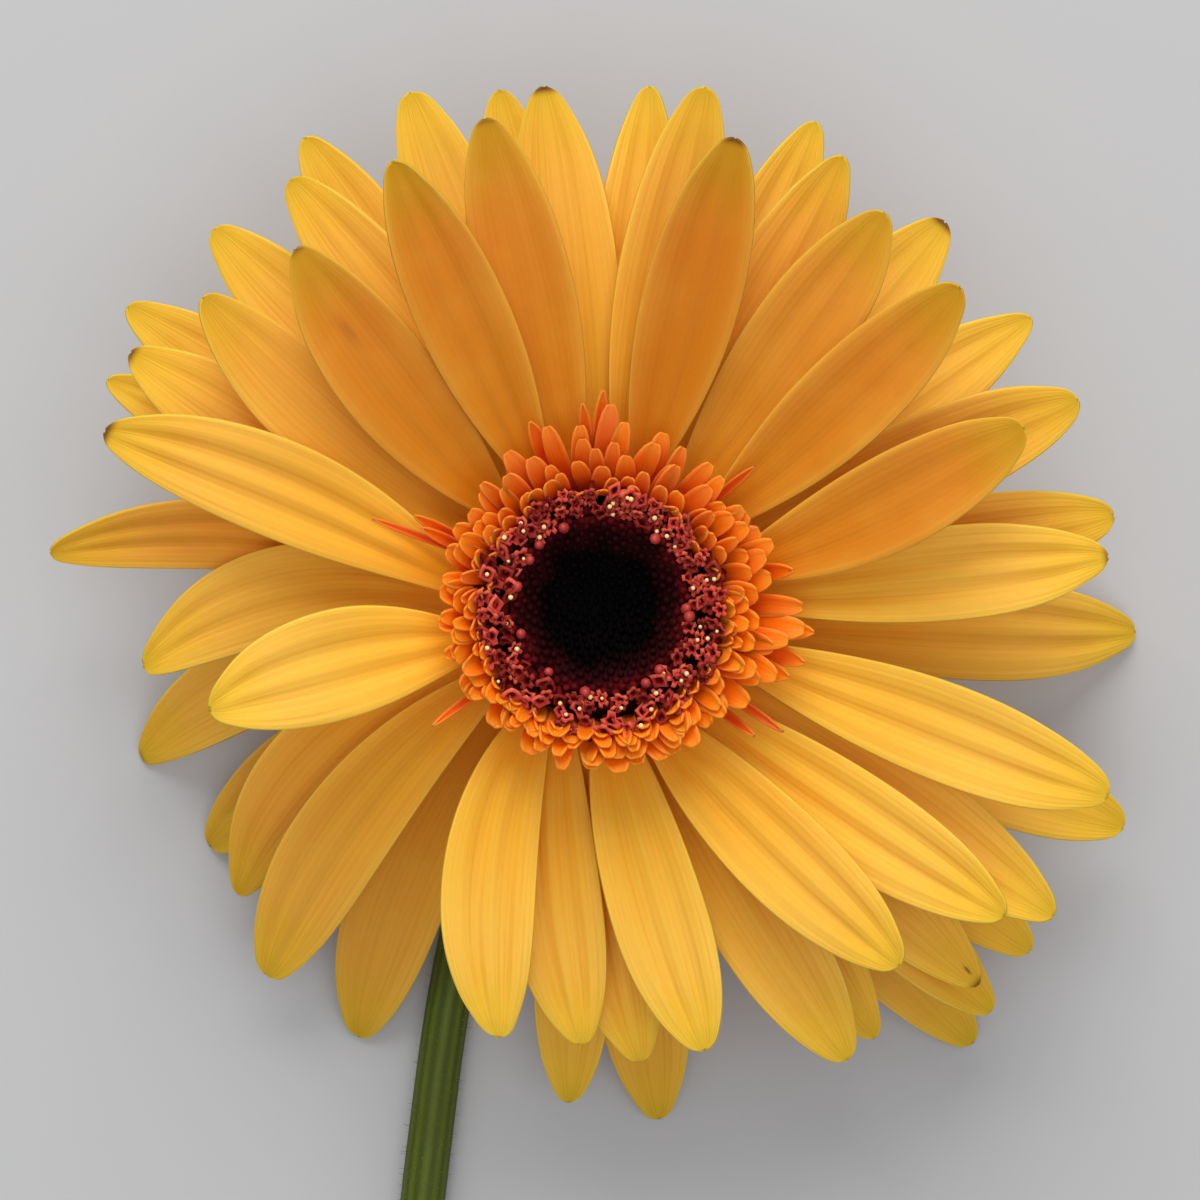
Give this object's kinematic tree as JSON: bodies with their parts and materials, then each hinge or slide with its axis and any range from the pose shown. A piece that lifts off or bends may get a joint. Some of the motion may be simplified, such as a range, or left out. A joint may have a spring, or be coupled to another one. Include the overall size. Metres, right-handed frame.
{
  "type": "cut gerbera flower",
  "caption": "Cut gerbera lying face up: golden yellow ray petals round a dark-eyed disc, with the bare green stem bent over at the neck and lying along the table.",
  "frame": {"origin": "middle of the footprint, on the table that the flower lies on", "axes": "+Z away from the table and out of the flower's face, +Y from the stem's cut end towards the head, +X to the right when the face is seen from above with the stem pointing down"},
  "size_m": [0.1132, 0.327, 0.0408],
  "materials": {
    "ray_petal": "satin",
    "trans_floret": "satin",
    "open_floret": "satin",
    "floret_bud": "satin",
    "bract": "matte",
    "stem": "satin"
  },
  "bodies": {
    "root": {"ray_petal_01": "ray_petal", "ray_petal_02": "ray_petal", "ray_petal_03": "ray_petal", "ray_petal_04": "ray_petal", "ray_petal_05": "ray_petal", "ray_petal_06": "ray_petal", "ray_petal_07": "ray_petal", "ray_petal_08": "ray_petal", "ray_petal_09": "ray_petal", "ray_petal_10": "ray_petal", "ray_petal_11": "ray_petal", "ray_petal_12": "ray_petal", "ray_petal_13": "ray_petal", "ray_petal_14": "ray_petal", "ray_petal_15": "ray_petal", "ray_petal_16": "ray_petal", "ray_petal_17": "ray_petal", "ray_petal_18": "ray_petal", "ray_petal_19": "ray_petal", "ray_petal_20": "ray_petal", "ray_petal_21": "ray_petal", "ray_petal_22": "ray_petal", "ray_petal_23": "ray_petal", "ray_petal_24": "ray_petal", "ray_petal_25": "ray_petal", "ray_petal_26": "ray_petal", "ray_petal_27": "ray_petal", "ray_petal_28": "ray_petal", "ray_petal_29": "ray_petal", "ray_petal_30": "ray_petal", "ray_petal_31": "ray_petal", "ray_petal_32": "ray_petal", "ray_petal_33": "ray_petal", "ray_petal_34": "ray_petal", "ray_petal_35": "ray_petal", "ray_petal_36": "ray_petal", "ray_petal_37": "ray_petal", "ray_petal_38": "ray_petal", "ray_petal_39": "ray_petal", "ray_petal_40": "ray_petal", "ray_petal_41": "ray_petal", "ray_petal_42": "ray_petal", "ray_petal_43": "ray_petal", "ray_petal_44": "ray_petal", "ray_petal_45": "ray_petal", "ray_petal_46": "ray_petal", "ray_petal_47": "ray_petal", "ray_petal_48": "ray_petal", "ray_petal_49": "ray_petal", "ray_petal_50": "ray_petal", "ray_petal_51": "ray_petal", "ray_petal_52": "ray_petal", "ray_petal_53": "ray_petal", "stem": "stem", "bracts_inner": "bract", "bracts_outer": "bract", "trans_florets_outer": "trans_floret", "trans_florets_inner": "trans_floret", "disc_florets_open": "open_floret", "disc_florets_buds": "floret_bud"}
  },
  "joints": []
}
